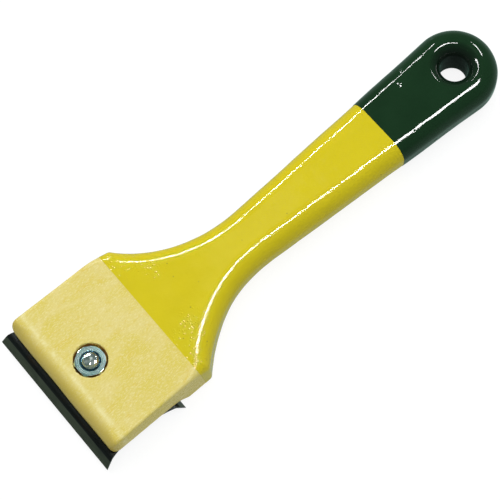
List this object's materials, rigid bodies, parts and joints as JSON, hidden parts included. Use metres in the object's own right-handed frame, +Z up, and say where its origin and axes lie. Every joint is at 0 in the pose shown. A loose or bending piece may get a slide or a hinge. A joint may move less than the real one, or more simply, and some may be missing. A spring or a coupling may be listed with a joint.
{
  "type": "two-edge pull scraper",
  "caption": "Pull scraper: a flat lacquered wooden handle with a wide head, a hooked two-edge steel blade clamped under it by a screw and a sunk hex nut, and a hanging hole in the dipped end.",
  "frame": {"origin": "bottom centre of the bounding box, on the surface the tool lies on", "axes": "+Z up; the handle runs along +X with the blade at the -X end; the plane Y = 0 is the plane of symmetry; the tool stands on its rear cutting edge and the end of its handle"},
  "size_m": [0.2136, 0.0636, 0.0203],
  "materials": {
    "yellow_lacquered_wood": "opaque glossy yellow lacquer brushed over hardwood",
    "green_dipped_wood": "thick glossy dark green lacquer, dipped over the yellow",
    "bare_wood": "pale close-grained hardwood, sanded and sealed with a satin clear coat",
    "blued_blade_steel": "dark oiled spring steel with ground cutting edges",
    "zinc_plated_steel": "bright zinc plate with a bluish tint, scuffed at the screw's end"
  },
  "bodies": {
    "handle_body": {"handle": "yellow_lacquered_wood", "hex_nut": "zinc_plated_steel"},
    "clamp_body": {"scraper_blade": "blued_blade_steel", "flat_washer": "zinc_plated_steel"},
    "screw_body": {"clamp_screw": "zinc_plated_steel"}
  },
  "joints": [
    {"name": "clamp_release", "type": "slide", "parent": "handle_body", "child": "clamp_body", "axis": [-0.0879, 0, -0.9961], "range_m": [0, 0.00508]},
    {"name": "screw_turn", "type": "hinge", "parent": "clamp_body", "child": "screw_body", "pos_m": [-0.08802, 0, 0.0071], "axis": [-0.0879, 0, -0.9961], "range_deg": [0, 1441]}
  ],
  "couplings": [
    {"joint": "screw_turn", "follows": "clamp_release", "rad_per_m": 4947.4}
  ]
}
